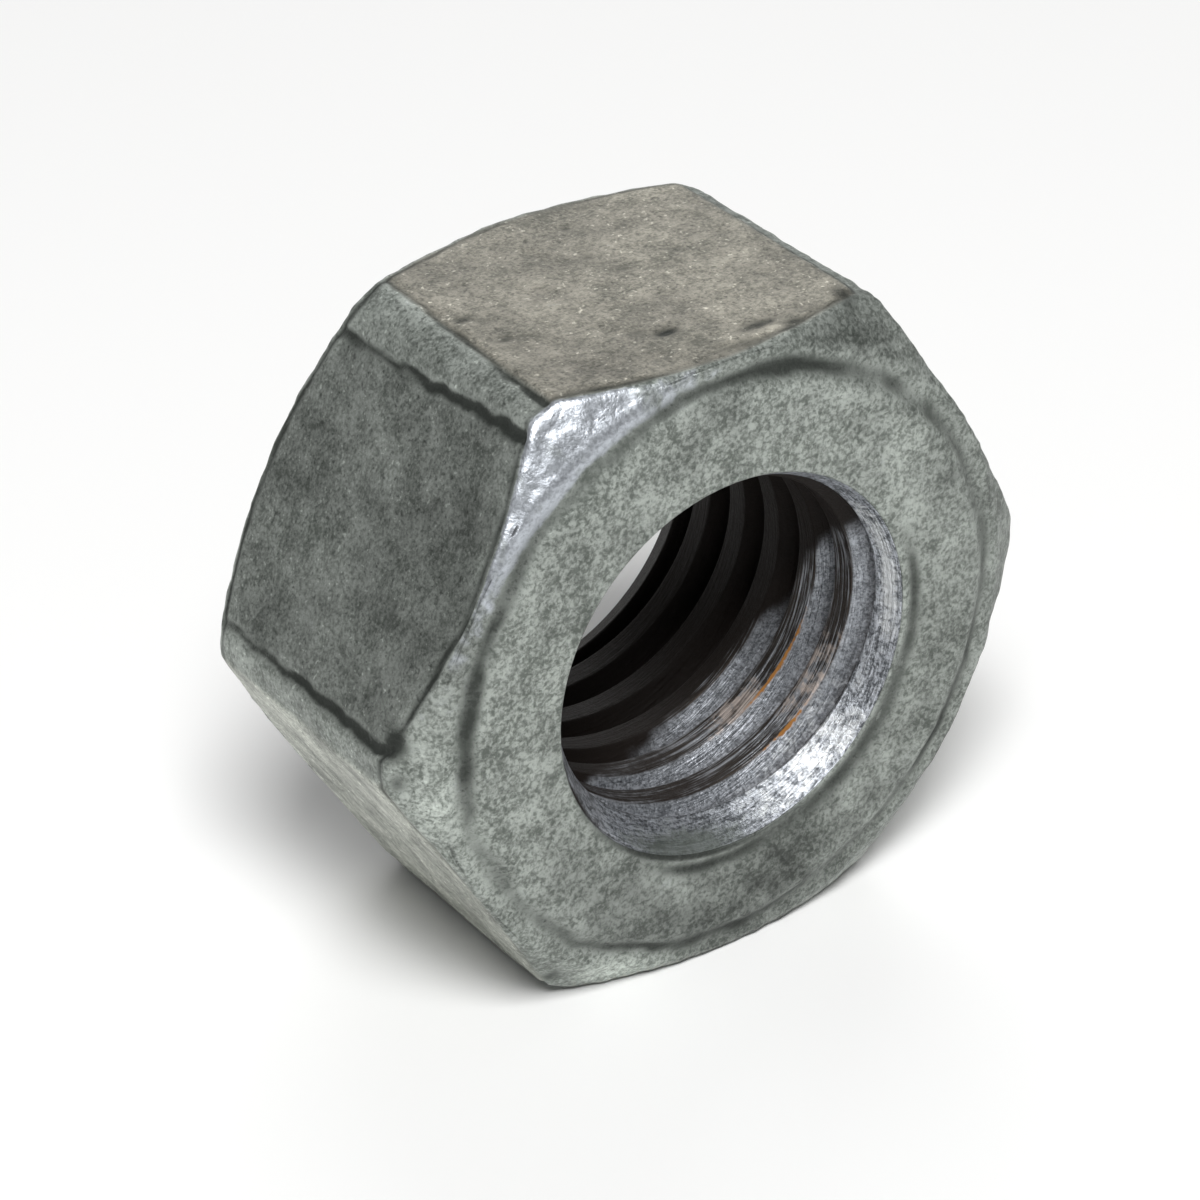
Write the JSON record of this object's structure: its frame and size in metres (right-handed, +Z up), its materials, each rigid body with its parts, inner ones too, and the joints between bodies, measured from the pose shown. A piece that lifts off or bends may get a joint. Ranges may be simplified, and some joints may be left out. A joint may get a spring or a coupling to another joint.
{
  "type": "hex nut",
  "caption": "Galvanised heavy hex nut with chamfered ends, raised bearing faces and a tapped, countersunk hole.",
  "frame": {"origin": "on the axis of the tapped hole, halfway between the two bearing faces", "axes": "+Z up with the nut standing on one flat, Y along the tapped hole with the front face towards -Y, X across two corners"},
  "size_m": [0.03, 0.0152, 0.0266],
  "materials": {
    "bare_steel": "tapped and oiled carbon steel, dark, with a little rust on the thread's crests",
    "galvanised_zinc": "weathered hot-dip zinc, matt and mottled grey"
  },
  "bodies": {
    "root": {"forged_steel_nut": "bare_steel", "zinc_coating": "galvanised_zinc"}
  },
  "joints": []
}
